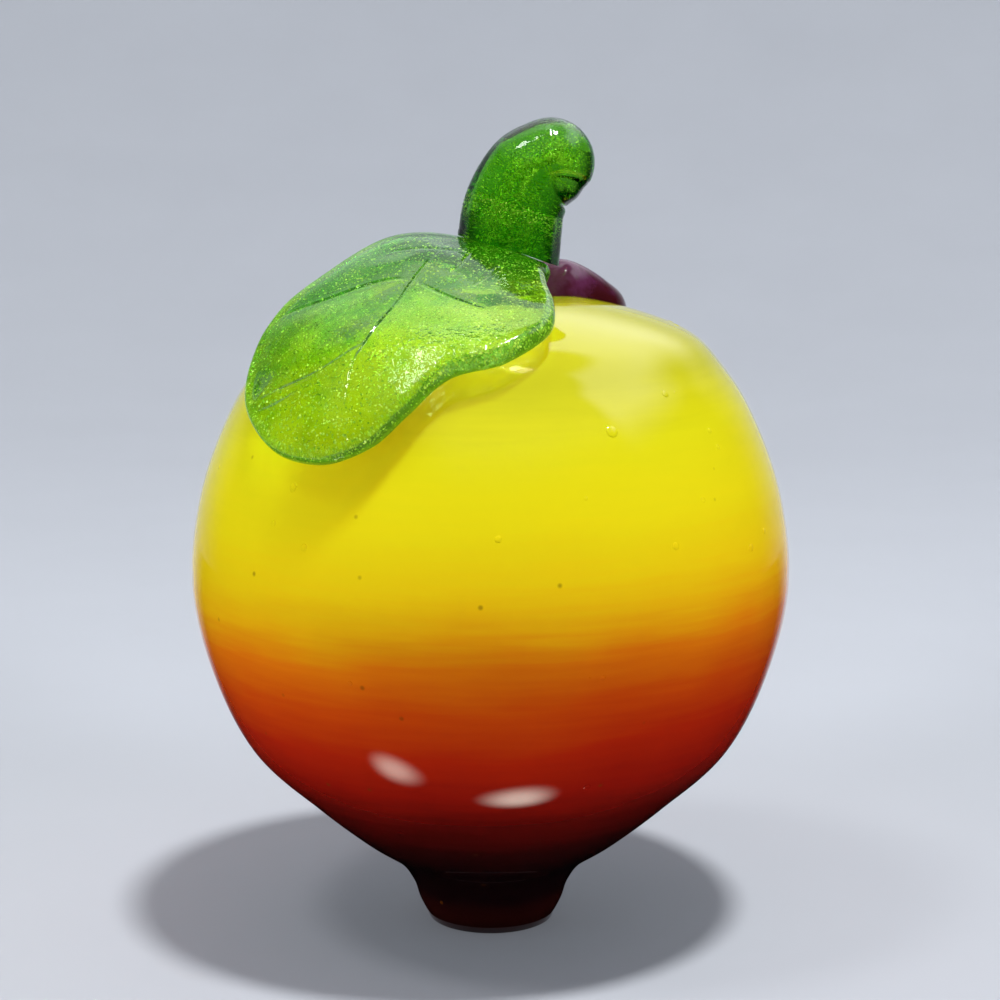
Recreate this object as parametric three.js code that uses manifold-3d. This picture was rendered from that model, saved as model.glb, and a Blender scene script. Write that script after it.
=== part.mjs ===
// A hand-blown glass peach: a hollow cased bubble standing on its jacked neck,
// with a stem and two leaves of hot glass set on the crown.
// Millimetres, +Z up, -Y towards the viewer. The origin is the middle of the foot, on the table.
import * as THREE from "three";
import { mergeVertices } from "three/addons/utils/BufferGeometryUtils.js";
import Module from "manifold-3d";

// Bubble, outside: radius and height from the lip of the neck up to the dimple in the crown
const FOOT_RADIUS = 9.3;
const BELLY_RADIUS = 42;
const BELLY_HEIGHT = 50;
const DIMPLE_HEIGHT = 88.6;
const BUBBLE_PROFILE = [
  [FOOT_RADIUS, 1.2],
  [10.3, 3.2],
  [11.3, 6],
  [13.7, 9.2],
  [19.1, 13],
  [26.2, 19],
  [34.3, 27],
  [39.5, 38],
  [BELLY_RADIUS, BELLY_HEIGHT],
  [40.7, 62],
  [37.1, 72.3],
  [32.7, 79.7],
  [26.6, 85.4],
  [13, 89.2],
  [0, DIMPLE_HEIGHT],
];
const LATHE_SIDES = 40;
const OUTSIDE_STEPS = 2;
const INSIDE_STEPS = 1;

// Neck: the open end of the bubble, fire-polished to a flat ring that the peach stands on
const LIP_FLAT_OUTER = 8.4;
const LIP_FLAT_INNER = 6;
const BORE_RADIUS = 5.1;
const SHELF_HEIGHT = 4.2;

// The three gathers of glass in the wall, from the outside in
const CASING_WALL = 1.5;
const OVERLAY_NECK_WALL = 1.3;
const OVERLAY_FEATHER_WALL = 0.45;
const OVERLAY_TOP = 57;
const CORE_WALL = 1.4;
const GATHER_GAP = 0.25;

// Stem: a round rod of hot glass, bent over to the right, with shallow flutes and a blunt end
const STEM_STATIONS = [
  // x, z, radius
  [2.5, 94.2, 6.9],
  [2.6, 96.5, 7],
  [2.9, 100, 7],
  [3.7, 103.1, 6.8],
  [5.7, 106.5, 6.6],
  [8.2, 108.1, 6.2],
];
const STEM_SIDES = 32;
const STEM_FLUTES = 8;
const STEM_FLUTE_DEPTH = 0.12;
const STEM_RINGS = 12;
const STEM_END_RINGS = 5;

// Leaves are drawn on the skin map: the skin rolled out flat from the middle of the crown,
// u to the right and v to the back, both in millimetres along the skin.
const SKIN_RADIUS = 42;
const SEAT_GAP = 0.25;

const GREEN_LEAF = {
  middle: [-12, -21],
  outline: [
    [8, -4],
    [8.4, 2],
    [4, 6.8],
    [-2, 6.4],
    [-7, 2.4],
    [-13, -2],
    [-19.5, -6.6],
    [-25.9, -10.8],
    [-31.2, -16.6],
    [-33, -24.6],
    [-30.2, -33.6],
    [-23.6, -39],
    [-16.2, -40],
    [-10.6, -37.6],
    [-5, -34],
    [2, -32.2],
    [7.2, -27.4],
    [8, -21],
    [7.2, -14.5],
  ],
  // Under the stem the blade thickens into a root wad that sits on the crown.
  halfThickness: (u, v) => lerp(1.5, (GREEN_LEAF.topLift(u, v) - SEAT_GAP) / 2, bump(u, v, 1.5, 0.5, 7)),
  topLift: (u, v) => 4.6 + 4.6 * bump(u, v, -8, -1, 14.5),
  veins: [
    [[-5.6, -7], [-9, -14], [-16, -24.5], [-23, -31], [-27, -34]],
    [[-9, -14], [-16.4, -12.4], [-23, -10.4], [-27.5, -12.5]],
    [[-9, -14], [-4.2, -19.5], [0, -23.5], [4, -26]],
    [[-16, -24.5], [-25, -22.9], [-29.8, -21.4]],
    [[-16, -24.5], [-17.2, -30], [-18.6, -35.5]],
  ],
};

const AMETHYST_LEAF = {
  middle: [11, 13.5],
  outline: [
    [6, 5],
    [10, 4],
    [14.4, 6],
    [18, 10.5],
    [19.4, 16.5],
    [18, 23.5],
    [12, 23.5],
    [6, 20.5],
    [2, 15.5],
    [2, 9.5],
  ],
  halfThickness: (u, v) => 0.9 + 1.9 * bump(u, v, 5, 6, 13),
  topLift: (u, v) => SEAT_GAP + 2 * AMETHYST_LEAF.halfThickness(u, v),
  veins: [[[6, 9.5], [10.5, 14.5], [16.4, 21.8]]],
};
const LEAF_SPOKES = 40;
const LEAF_RINGS = 5;
const LEAF_EDGE_RINGS = 3;
const VEIN_WIDTH = 1.1;
const VEIN_DEPTH = 0.5;
const VEIN_STEPS = 10;

// Finishes
const GLASS = {
  yellow: { color: 0xf2d411, roughness: 0.1, metalness: 0 },
  red: { color: 0x9c1a0e, roughness: 0.06, metalness: 0 },
  clear: { color: 0xf4f4ee, roughness: 0.03, metalness: 0, transparent: true, opacity: 0.15 },
  green: { color: 0x3c8a12, roughness: 0.06, metalness: 0, transparent: true, opacity: 0.7 },
  amethyst: { color: 0x4a1428, roughness: 0.06, metalness: 0, transparent: true, opacity: 0.85 },
};

const wasm = await Module();
wasm.setup();

const lerp = THREE.MathUtils.lerp;
const smooth = THREE.MathUtils.smoothstep;

// A round hump of height 1 around (u0, v0) on the skin map.
function bump(u, v, u0, v0, reach) {
  return Math.exp(-((u - u0) ** 2 + (v - v0) ** 2) / reach ** 2);
}

const vec2 = ([x, y]) => new THREE.Vector2(x, y);
const bubbleCurve = new THREE.SplineCurve(BUBBLE_PROFILE.map(vec2));

// Solids for joining and cutting.
function solidOf(geometry) {
  const bare = geometry.clone();
  bare.deleteAttribute("normal");
  bare.deleteAttribute("uv");
  const merged = mergeVertices(bare, 1e-4);
  return new wasm.Manifold(
    new wasm.Mesh({
      numProp: 3,
      vertProperties: merged.attributes.position.array,
      triVerts: new Uint32Array(merged.index.array),
    }),
  );
}

function geometryOf(solid) {
  const mesh = solid.getMesh();
  const geometry = new THREE.BufferGeometry();
  geometry.setAttribute("position", new THREE.BufferAttribute(mesh.vertProperties, 3));
  geometry.setIndex(new THREE.BufferAttribute(mesh.triVerts, 1));
  geometry.computeVertexNormals();
  return geometry;
}

// A profile of [radius, height] points turned about the Z axis.
function turned(profile) {
  const geometry = new THREE.LatheGeometry(profile.map(vec2), LATHE_SIDES);
  return geometry.rotateX(Math.PI / 2);
}

// The bubble's wall at a depth under its outside, from one height to another, as [radius, height].
function wallLine(depthAt, fromHeight, toHeight, steps = INSIDE_STEPS) {
  const count = (BUBBLE_PROFILE.length - 1) * steps;
  const whole = [];
  for (let i = 0; i <= count; i++) {
    const p = bubbleCurve.getPoint(i / count);
    const along = bubbleCurve.getTangent(i / count);
    const depth = depthAt(p.y);
    const radius = i === count ? 0 : p.x - along.y * depth;
    whole.push([radius, p.y + along.x * depth]);
  }
  const line = [];
  whole.forEach(([radius, height], i) => {
    const before = whole[Math.max(i - 1, 0)];
    for (const end of [fromHeight, toHeight]) {
      if (before[1] < end && height > end) {
        const part = (end - before[1]) / (height - before[1]);
        line.push([lerp(before[0], radius, part), end]);
      }
    }
    if (height > fromHeight && height < toHeight) line.push([radius, height]);
  });
  return line;
}

// How deep each gather lies under the outside at a height.
const overlayWall = (z) => lerp(OVERLAY_NECK_WALL, OVERLAY_FEATHER_WALL, smooth(z, 0, OVERLAY_TOP));
const overlayOuter = () => CASING_WALL + GATHER_GAP;
const overlayInner = (z) => overlayOuter() + overlayWall(z);
const underOverlay = (z) => 1 - smooth(z, OVERLAY_TOP + 6, OVERLAY_TOP + 15);
const coreOuter = (z) => overlayOuter() + underOverlay(z) * (overlayWall(z) + GATHER_GAP);
const coreInner = (z) => coreOuter(z) + CORE_WALL;

// The clear casing: the whole outside, with the lip and the shelf that the inner gathers end on.
function clearCasing() {
  const outside = wallLine(() => 0, 0, Infinity, OUTSIDE_STEPS).reverse();
  const lip = [
    [FOOT_RADIUS - 0.3, 0.4],
    [LIP_FLAT_OUTER, 0],
    [LIP_FLAT_INNER, 0],
    [BORE_RADIUS + 0.25, 0.4],
    [BORE_RADIUS, 1.2],
    [BORE_RADIUS, SHELF_HEIGHT],
  ];
  const inside = wallLine(() => CASING_WALL, SHELF_HEIGHT, Infinity);
  return turned([...outside, ...lip, ...inside].reverse());
}

// The red overlay: a cup that is thick at the neck and feathers out at the belly.
function redOverlay() {
  const bottom = SHELF_HEIGHT + GATHER_GAP;
  const outside = wallLine(overlayOuter, bottom, OVERLAY_TOP);
  const inside = wallLine(overlayInner, bottom, OVERLAY_TOP).reverse();
  const loop = [...outside, ...inside];
  return turned([...loop, loop[0]]);
}

// The yellow core: the first bubble, open at the neck.
function yellowCore() {
  const bottom = SHELF_HEIGHT + GATHER_GAP;
  const outside = wallLine(coreOuter, bottom, Infinity).reverse();
  const inside = wallLine(coreInner, bottom, Infinity);
  return turned([...outside, ...inside].reverse());
}

// Distance from the belly's middle out to the bubble's outside, at an angle from straight up.
const skinTable = bubbleCurve.getPoints(280).map((p) => ({
  angle: Math.atan2(p.x, p.y - BELLY_HEIGHT),
  reach: Math.hypot(p.x, p.y - BELLY_HEIGHT),
}));
function skinReach(angle) {
  const next = skinTable.findIndex((row, i) => i > 0 && row.angle <= angle);
  const low = skinTable[next];
  const high = skinTable[next - 1];
  return lerp(low.reach, high.reach, (angle - low.angle) / (high.angle - low.angle));
}

// A point of the skin map, lifted off the skin.
function onSkin(u, v, lift) {
  const arc = Math.max(Math.hypot(u, v), 1e-6);
  const angle = arc / SKIN_RADIUS;
  const reach = skinReach(angle) + lift;
  const side = (reach * Math.sin(angle)) / arc;
  return new THREE.Vector3(u * side, v * side, BELLY_HEIGHT + reach * Math.cos(angle));
}

// Rings of points joined into a closed skin, with a point at each end.
function lofted(start, rings, end) {
  const sides = rings[0].length;
  const points = [start, ...rings.flat(), end];
  const last = points.length - 1;
  const faces = [];
  for (let i = 0; i < sides; i++) {
    const j = (i + 1) % sides;
    faces.push(0, 1 + j, 1 + i);
    for (let k = 0; k < rings.length - 1; k++) {
      const a = 1 + k * sides;
      const b = a + sides;
      faces.push(a + i, a + j, b + j, a + i, b + j, b + i);
    }
    const top = 1 + (rings.length - 1) * sides;
    faces.push(top + i, top + j, last);
  }
  const geometry = new THREE.BufferGeometry().setFromPoints(points);
  geometry.setIndex(faces);
  return geometry;
}

// A leaf draped over the skin: thickness rounded off at its rim, underside first.
// Grown, it is a cutter that leaves room for the leaf.
function leafBlade({ middle, outline, halfThickness, topLift }, grow = 0) {
  const rim = new THREE.CatmullRomCurve3(
    outline.map(([u, v]) => new THREE.Vector3(u, v, 0)),
    true,
    "catmullrom",
    0.5,
  );
  const spokes = Array.from({ length: LEAF_SPOKES }, (_, i) => rim.getPoint(i / LEAF_SPOKES));
  const ringAt = (inset, swell, side) =>
    spokes.map((tip) => {
      const span = Math.hypot(tip.x - middle[0], tip.y - middle[1]);
      const part = 1 - (inset(span, halfThickness(tip.x, tip.y)) - grow) / span;
      const u = lerp(middle[0], tip.x, part);
      const v = lerp(middle[1], tip.y, part);
      const middleLift = topLift(u, v) - halfThickness(u, v);
      return onSkin(u, v, middleLift + side * (swell * halfThickness(u, v) + grow));
    });
  const half = (side) => {
    const rings = [];
    for (let k = 1; k <= LEAF_RINGS; k++) {
      const inset = (span, edge) => lerp(span, edge, k / LEAF_RINGS);
      rings.push(ringAt(inset, 1, side));
    }
    for (let k = 1; k < LEAF_EDGE_RINGS; k++) {
      const turn = (k / LEAF_EDGE_RINGS) * (Math.PI / 2);
      rings.push(ringAt((span, edge) => edge * (1 - Math.sin(turn)), Math.cos(turn), side));
    }
    return rings;
  };
  const edge = ringAt(() => 0, 0, 0);
  const [u, v] = middle;
  const pole = (side) => onSkin(u, v, topLift(u, v) + (side - 1) * halfThickness(u, v) + side * grow);
  return lofted(pole(-1), [...half(-1), edge, ...half(1).reverse()], pole(1));
}

// A tapering V-shaped cutter that presses one vein into the top of a leaf.
function veinCutter({ topLift }, points) {
  const path = new THREE.SplineCurve(points.map(vec2));
  const top = (p, above) => onSkin(p.x, p.y, topLift(p.x, p.y) + above);
  const rings = [];
  for (let k = 0; k <= VEIN_STEPS; k++) {
    const part = lerp(0.02, 0.98, k / VEIN_STEPS);
    const p = path.getPoint(part);
    const along = path.getTangent(part);
    const taper = 0.35 + 0.65 * Math.sin(part * Math.PI);
    const across = new THREE.Vector2(-along.y, along.x).multiplyScalar(VEIN_WIDTH * taper);
    const left = p.clone().add(across);
    const right = p.clone().sub(across);
    rings.push([top(right, 0.5), top(p, -VEIN_DEPTH * taper), top(left, 0.5)]);
  }
  const start = path.getPoint(0);
  const end = path.getPoint(1);
  return lofted(top(start, 0.3), rings, top(end, 0.3));
}

// The stem, or a fatter copy of it that leaves room for the glass around it.
function stemRod(grow) {
  const path = new THREE.SplineCurve(STEM_STATIONS.map(vec2));
  const radii = new THREE.SplineCurve(STEM_STATIONS.map(([, z, r]) => new THREE.Vector2(z, r)));
  const ringAround = (x, z, along, radius, flute) =>
    Array.from({ length: STEM_SIDES }, (_, i) => {
      const turn = (i / STEM_SIDES) * 2 * Math.PI;
      const r = radius + grow + flute * Math.cos(STEM_FLUTES * turn);
      const across = r * Math.cos(turn);
      return new THREE.Vector3(x + along.y * across, r * Math.sin(turn), z - along.x * across);
    });
  const rings = [];
  for (let k = 0; k <= STEM_RINGS; k++) {
    const part = k / STEM_RINGS;
    const p = path.getPoint(part);
    const flute = STEM_FLUTE_DEPTH * (1 - smooth(part, 0.5, 1));
    rings.push(ringAround(p.x, p.y, path.getTangent(part), radii.getPoint(part).y, flute));
  }
  const [endX, endZ, endRadius] = STEM_STATIONS.at(-1);
  const along = path.getTangent(1);
  for (let k = 1; k < STEM_END_RINGS; k++) {
    const turn = (k / STEM_END_RINGS) * (Math.PI / 2);
    const out = (endRadius + grow) * Math.sin(turn);
    const radius = (endRadius + grow) * Math.cos(turn) - grow;
    rings.push(ringAround(endX + along.x * out, endZ + along.y * out, along, radius, 0));
  }
  const reach = endRadius + grow;
  const foot = new THREE.Vector3(STEM_STATIONS[0][0], 0, STEM_STATIONS[0][1]);
  const tip = new THREE.Vector3(endX + along.x * reach, 0, endZ + along.y * reach);
  return lofted(foot, rings, tip);
}

// A leaf with its veins pressed in, cut clear of the pieces that were there before it.
function pressedLeaf(leaf, cutters) {
  const veins = leaf.veins.map((points) => veinCutter(leaf, points));
  return cut(leafBlade(leaf), [...veins, ...cutters]);
}

function cut(geometry, cutters) {
  return geometryOf(cutters.reduce((solid, cutter) => solid.subtract(solidOf(cutter)), solidOf(geometry)));
}

const peach = new THREE.Group();

function addPiece(name, geometry, glass) {
  const piece = new THREE.Mesh(geometry, new THREE.MeshStandardMaterial(glass));
  piece.name = name;
  peach.add(piece);
}

addPiece("yellow_core", yellowCore(), GLASS.yellow);
addPiece("red_overlay", redOverlay(), GLASS.red);
addPiece("clear_casing", clearCasing(), GLASS.clear);
// The green leaf goes on first, the stem on its root, and the amethyst leaf against them both.
const rootRoom = leafBlade(GREEN_LEAF, SEAT_GAP);
addPiece("green_leaf", pressedLeaf(GREEN_LEAF, []), GLASS.green);
addPiece("stem", cut(stemRod(0), [rootRoom]), GLASS.green);
addPiece("amethyst_leaf", pressedLeaf(AMETHYST_LEAF, [rootRoom, stemRod(SEAT_GAP)]), GLASS.amethyst);

export default peach;
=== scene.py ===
# A hand-blown glass peach: the finish of the cased bubble, the stem and the two leaves,
# on a plain pale stage. The frame is in metres; sizes here are in millimetres and MM converts them.
from math import cos, pi, radians, sin

import bmesh
import bpy
import numpy as np
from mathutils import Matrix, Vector
from mathutils.bvhtree import BVHTree


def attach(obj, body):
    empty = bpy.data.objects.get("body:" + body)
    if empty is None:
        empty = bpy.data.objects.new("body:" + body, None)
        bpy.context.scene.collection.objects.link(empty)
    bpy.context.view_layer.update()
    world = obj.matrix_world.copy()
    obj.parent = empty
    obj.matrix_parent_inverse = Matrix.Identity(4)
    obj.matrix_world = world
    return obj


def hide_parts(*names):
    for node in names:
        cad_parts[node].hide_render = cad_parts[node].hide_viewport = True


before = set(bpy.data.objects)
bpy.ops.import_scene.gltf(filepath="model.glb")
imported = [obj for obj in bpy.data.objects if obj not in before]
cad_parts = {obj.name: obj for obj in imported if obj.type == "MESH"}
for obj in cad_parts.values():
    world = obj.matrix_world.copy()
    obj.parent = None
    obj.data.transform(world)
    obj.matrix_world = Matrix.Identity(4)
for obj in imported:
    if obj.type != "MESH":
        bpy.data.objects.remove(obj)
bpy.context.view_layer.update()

MM = 0.001

# Bubble: radius and height of its outside from the lip of the neck up to the dimple in the crown
BELLY_RADIUS = 42
BELLY_HEIGHT = 50
BUBBLE_PROFILE = [
    (9.3, 1.2),
    (10.3, 3.2),
    (11.3, 6),
    (13.7, 9.2),
    (19.1, 13),
    (26.2, 19),
    (34.3, 27),
    (39.5, 38),
    (BELLY_RADIUS, BELLY_HEIGHT),
    (40.7, 62),
    (37.1, 72.3),
    (32.7, 79.7),
    (26.6, 85.4),
    (13, 89.2),
    (0, 88.6),
]
LIP_PROFILE = [(9.0, 0.4), (8.4, 0), (6, 0), (5.35, 0.4), (5.1, 1.2), (5.1, 4.2)]
SHELF_HEIGHT = 4.2
CASING_WALL = 1.5
OVERLAY_NECK_WALL = 1.3
OVERLAY_FEATHER_WALL = 0.45
OVERLAY_TOP = 57
CORE_WALL = 1.4
CORE_EASE = (6, 15)
ABOVE_CROWN = 100
GATHER_GAP = 0.25

# Gas seeds: place and radius of those that can be told apart, and the spread of the rest
SEEDS = [
    (-25.2, -29.8, 67.7, 0.6),
    (-27.8, -29.4, 62.9, 0.4),
    (1.1, -40.5, 62.9, 0.45),
    (23.7, -33.4, 60.7, 0.5),
    (15.5, -32.1, 75.2, 0.8),
    (34.4, -23, 58.5, 0.5),
    (36.5, -18.9, 60, 0.4),
]
STRAY_SEEDS = 46
STRAY_SEED_SPAN = (0.3, 0.9)
STRAY_SEED_RADII = (0.2, 0.55)
SEED_FLATNESS = 0.13

# Stem: x, z and radius along the bent rod
STEM_STATIONS = [
    (2.5, 94.2, 6.9),
    (2.6, 96.5, 7),
    (2.9, 100, 7),
    (3.7, 103.1, 6.8),
    (5.7, 106.5, 6.6),
    (8.2, 108.1, 6.2),
]
STEM_FLUTES = 8
STEM_FLUTE_DEPTH = 0.12
STEM_CREASE = [(6.5, 106.2), (8, 107.0), (10, 107.3), (12, 106.9), (13.4, 106.1), (14.4, 105)]
STEM_CREASE_DEPTH = 0.6
STEM_CREASE_START = (6.5, 9)
STEM_CREASE_END = (12.4, 14.2)
STEM_CREASE_LIP = 0.5
STEM_CREASE_TUCK = (0.8, 4)
STEM_SIDES = 144
STEM_STEPS = 90
STEM_FOOT_STEPS = 28
STEM_END_EASE = 16
STEM_SEAT_GAP = 0.1

# Leaves on the skin map: the skin rolled out flat from the middle of the crown,
# u to the right and v to the back, both in millimetres along the skin
SKIN_RADIUS = 42
SEAT_GAP = 0.25
GREEN_LEAF = {
    "middle": (-12, -21),
    "root": lambda u, v: 1 - smooth_step(np.hypot(u - 1.5, v - 0.5), 7, 13),
    "edge_rounding": 1.6,
    "rim_height": 0.3,
    "outline": [
        (6.6, -5),
        (8, 1.5),
        (4, 6.8),
        (-2, 6.4),
        (-7, 2.4),
        (-13, -2),
        (-19.5, -6.6),
        (-25.9, -10.8),
        (-31.3, -16.6),
        (-33.2, -24.6),
        (-30.2, -33.4),
        (-23.6, -39.1),
        (-16.2, -40.1),
        (-10.6, -37.7),
        (-5, -34.1),
        (2, -32.3),
        (7.2, -27.4),
        (8, -21),
        (7.2, -14.5),
    ],
    "veins": [
        [
            (-5.2, -6.5),
            (-6.4, -10.7),
            (-9.1, -16.4),
            (-11.6, -22),
            (-14.5, -26.5),
            (-16.8, -29.3),
            (-18.5, -34.4),
        ],
        [(-9.1, -16.4), (-12.2, -15.3), (-19.6, -15.3), (-26, -13.7)],
        [(-9.1, -16.4), (-5.2, -20.6), (-0.8, -24)],
        [(-15.2, -27.1), (-22.3, -27.6), (-30.1, -25.6)],
        [(-23.9, -28.6), (-27.7, -28.3), (-31, -27)],
        [(-11.5, -8.8), (-7.1, -9.1), (-2.9, -10.1)],
        [(-2.4, -10.3), (-3.5, -13.5), (-4.7, -15.4)],
        [(1, -13.4), (-0.4, -16.1), (-2, -18.6)],
        [(-28.6, -31.9), (-28.6, -32.9), (-28.1, -34.1)],
    ],
}
AMETHYST_LEAF = {
    "middle": (11.5, 13.5),
    "root": lambda u, v: 1 - smooth_step(np.hypot(u - 4, v - 9), 2, 5),
    "edge_rounding": 4,
    "rim_height": 0.1,
    "outline": [
        (7.4, 5),
        (10.6, 4),
        (14.4, 6),
        (18.6, 10.8),
        (20.2, 16.8),
        (19.4, 24.4),
        (13, 23.2),
        (6, 20.5),
        (3, 15),
        (4.4, 8.6),
    ],
    "veins": [
        [(6, 8.5), (10.5, 14), (16.8, 21.8)],
        [(8.8, 11.8), (12, 10.8), (15.6, 11.4)],
        [(11.8, 15.6), (15, 15.4), (18, 16.6)],
        [(8.4, 11.4), (7.6, 14.4), (8, 18)],
        [(12.2, 16.2), (11.6, 18.8), (12.4, 21)],
    ],
}
GREEN_LIFT = 5.1
GREEN_CREST = 4.4
GREEN_CREST_PLACE = (-8, -1)
GREEN_CREST_REACH = 14.5
GREEN_STEM_DIP = 1.6
GREEN_FRONT_DIP = 0.8
GREEN_HALF = 1.35
GREEN_ROOT_PLACE = (1.5, 0.5)
GREEN_ROOT_REACH = 7
AMETHYST_HALF = 1.3
AMETHYST_SWELL = 1.9
AMETHYST_SWELL_PLACE = (5, 6)
AMETHYST_SWELL_REACH = 13
AMETHYST_SINK = 0.6
LEAF_CURL = 0.5
LEAF_CURL_REACH = 10
ROOT_EDGE_ROUNDING = 2
ROOT_RIM_HEIGHT = 0.6
LOWER_RIM = (14, 24)
VEIN_HALF_WIDTH = 0.42
VEIN_DEPTH = 0.15
VEIN_TIP_SHARE = 0.45
VEIN_STEPS = 160
PILLOW_DEPTH = 0.3
PILLOW_REACH = 2.6

# Lower rim of a leaf: how far in it shades and how far in its painted light reaches,
# where along u the shade begins at the left and where it eases off at the right
EDGE_SHADE_REACH = (3.5, 7)
EDGE_PAINTED_LIGHT_REACH = (0.2, 2.2)
EDGE_SHADE_LEFT = (-34, -27)
EDGE_SHADE_RIGHT = (-14, 2)
EDGE_SHADE_RIGHT_SHARE = 0.6

# Camera, fitted to the outline in the photograph
CAMERA_PLACE = (1.33, -328.4, 116.95)
CAMERA_PITCH = 9.678
CAMERA_LENS = 85


def linear(hex_colour):
    """An sRGB hex colour as linear red, green, blue and alpha."""
    parts = [int(hex_colour[i : i + 2], 16) / 255 for i in (1, 3, 5)]
    return tuple(c / 12.92 if c <= 0.04045 else ((c + 0.055) / 1.055) ** 2.4 for c in parts) + (1,)


def add(tree, kind, inputs=None, **settings):
    """A node with its settings; each input gets a value or a link from another node's socket."""
    node = tree.nodes.new(kind)
    for key, value in settings.items():
        setattr(node, key, value)
    for key, value in (inputs or {}).items():
        if isinstance(value, bpy.types.NodeSocket):
            tree.links.new(value, node.inputs[key])
        else:
            node.inputs[key].default_value = value
    return node


def smooth_step(x, low, high):
    t = np.clip((x - low) / (high - low), 0, 1)
    return t * t * (3 - 2 * t)


def lerp(a, b, t):
    return a + (b - a) * t


def bump(u, v, u0, v0, reach):
    """A round hump of height 1 around (u0, v0) on the skin map."""
    return np.exp(-((u - u0) ** 2 + (v - v0) ** 2) / reach**2)


def spline(points, params, closed=False):
    """Points of a curve through the given points, and its directions, for params from 0 to 1."""
    knots = np.array(points, float)
    spans = len(knots) if closed else len(knots) - 1
    t = np.asarray(params, float) * spans
    i = np.clip(t.astype(int), 0, spans - 1)
    t = (t - i)[:, None]
    steps = [i - 1, i, i + 1, i + 2]
    at = [s % len(knots) if closed else np.clip(s, 0, spans) for s in steps]
    a, b, c, d = (knots[k] for k in at)
    slope, square, cube = c - a, 2 * a - 5 * b + 4 * c - d, 3 * b - a - 3 * c + d
    place = 0.5 * (2 * b + slope * t + square * t**2 + cube * t**3)
    along = 0.5 * (slope + 2 * square * t + 3 * cube * t**2)
    return place, along / np.maximum(np.linalg.norm(along, axis=1, keepdims=True), 1e-9)


# Meshes


def piece_from_rings(name, rings, start=None, end=None, closed=False):
    """Rings of points joined into a smooth closed skin, with a point at each end or joined end to end."""
    rings = np.asarray(rings, float)
    count, sides, _ = rings.shape
    points = rings.reshape(-1, 3)
    ring = np.arange(sides)
    following = (ring + 1) % sides
    faces = []
    for k in range(count if closed else count - 1):
        a = k * sides
        b = (k + 1) % count * sides
        faces += np.stack([a + ring, a + following, b + following, b + ring], 1).tolist()
    for pole, k in ((start, 0), (end, count - 1)):
        if pole is not None:
            tip = len(points)
            points = np.vstack([points, [pole]])
            faces += [[k * sides + i, k * sides + j, tip] for i, j in zip(ring, following)]
    mesh = bpy.data.meshes.new(name)
    mesh.from_pydata((points * MM).tolist(), [], faces)
    work = bmesh.new()
    work.from_mesh(mesh)
    bmesh.ops.recalc_face_normals(work, faces=work.faces)
    work.to_mesh(mesh)
    work.free()
    mesh.shade_smooth()
    piece = bpy.data.objects.new(name, mesh)
    bpy.context.scene.collection.objects.link(piece)
    return piece


def finish_piece(piece, material, node=None):
    """Gives a piece its material and its place in the frame."""
    piece.data.materials.clear()
    piece.data.materials.append(material)
    if node:
        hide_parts(node)
    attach(piece, "root")


# The blown bubble


def turned(profile, sides):
    """Rings of a profile of (radius, height) points turned about the Z axis."""
    turn = np.linspace(0, 2 * pi, sides, endpoint=False)
    radius, height = np.array(profile, float).T
    around = [np.outer(radius, np.cos(turn)), np.outer(radius, np.sin(turn))]
    return np.stack(around + [np.repeat(height[:, None], sides, 1)], 2)


def wall_line(depth_at, low, high, steps):
    """The bubble's wall at a depth under its outside, between two heights, as radius and height."""
    place, along = spline(BUBBLE_PROFILE, np.linspace(0, 1, steps))
    depth = depth_at(place[:, 1])
    line = np.stack([place[:, 0] - along[:, 1] * depth, place[:, 1] + along[:, 0] * depth], 1)
    line[:, 0] = np.minimum(line[:, 0], BELLY_RADIUS)
    return line[(line[:, 1] > low) & (line[:, 1] < high) & (line[:, 0] > 0.2)]


def overlay_wall(z):
    return lerp(OVERLAY_NECK_WALL, OVERLAY_FEATHER_WALL, smooth_step(z, 0, OVERLAY_TOP))


def core_depth(z):
    under_overlay = 1 - smooth_step(z, OVERLAY_TOP + CORE_EASE[0], OVERLAY_TOP + CORE_EASE[1])
    return CASING_WALL + GATHER_GAP + under_overlay * (overlay_wall(z) + GATHER_GAP)


def outer_casing():
    outside = wall_line(lambda z: 0 * z, 0, ABOVE_CROWN, 220)[::-1]
    inside = wall_line(lambda z: 0 * z + CASING_WALL, SHELF_HEIGHT, ABOVE_CROWN, 80)
    lip, _ = spline(LIP_PROFILE, np.linspace(0, 1, 31))
    lip[:, 1] = np.maximum(lip[:, 1], 0)
    rings = turned(np.vstack([outside, lip, inside]), 224)
    crown = BUBBLE_PROFILE[-1][1]
    return piece_from_rings("clear_casing", rings, (0, 0, crown), (0, 0, crown - CASING_WALL))


def inner_overlay():
    low = SHELF_HEIGHT + GATHER_GAP
    outside = wall_line(lambda z: 0 * z + CASING_WALL + GATHER_GAP, low, OVERLAY_TOP, 80)
    inside = wall_line(lambda z: CASING_WALL + GATHER_GAP + overlay_wall(z), low, OVERLAY_TOP, 80)
    return piece_from_rings("red_overlay", turned(np.vstack([outside, inside[::-1]]), 96), closed=True)


def inner_core():
    low = SHELF_HEIGHT + GATHER_GAP
    outside = wall_line(core_depth, low, ABOVE_CROWN, 90)[::-1]
    inside = wall_line(lambda z: core_depth(z) + CORE_WALL, low, ABOVE_CROWN, 90)
    crown = BUBBLE_PROFILE[-1][1] - CASING_WALL - GATHER_GAP
    rings = turned(np.vstack([outside, inside]), 96)
    return piece_from_rings("yellow_core", rings, (0, 0, crown), (0, 0, crown - CORE_WALL))


# The leaves

skin_place, _ = spline(BUBBLE_PROFILE, np.linspace(0, 1, 600))
skin_angle = np.arctan2(skin_place[:, 0], skin_place[:, 1] - BELLY_HEIGHT)[::-1]
skin_reach = np.hypot(skin_place[:, 0], skin_place[:, 1] - BELLY_HEIGHT)[::-1]


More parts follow.
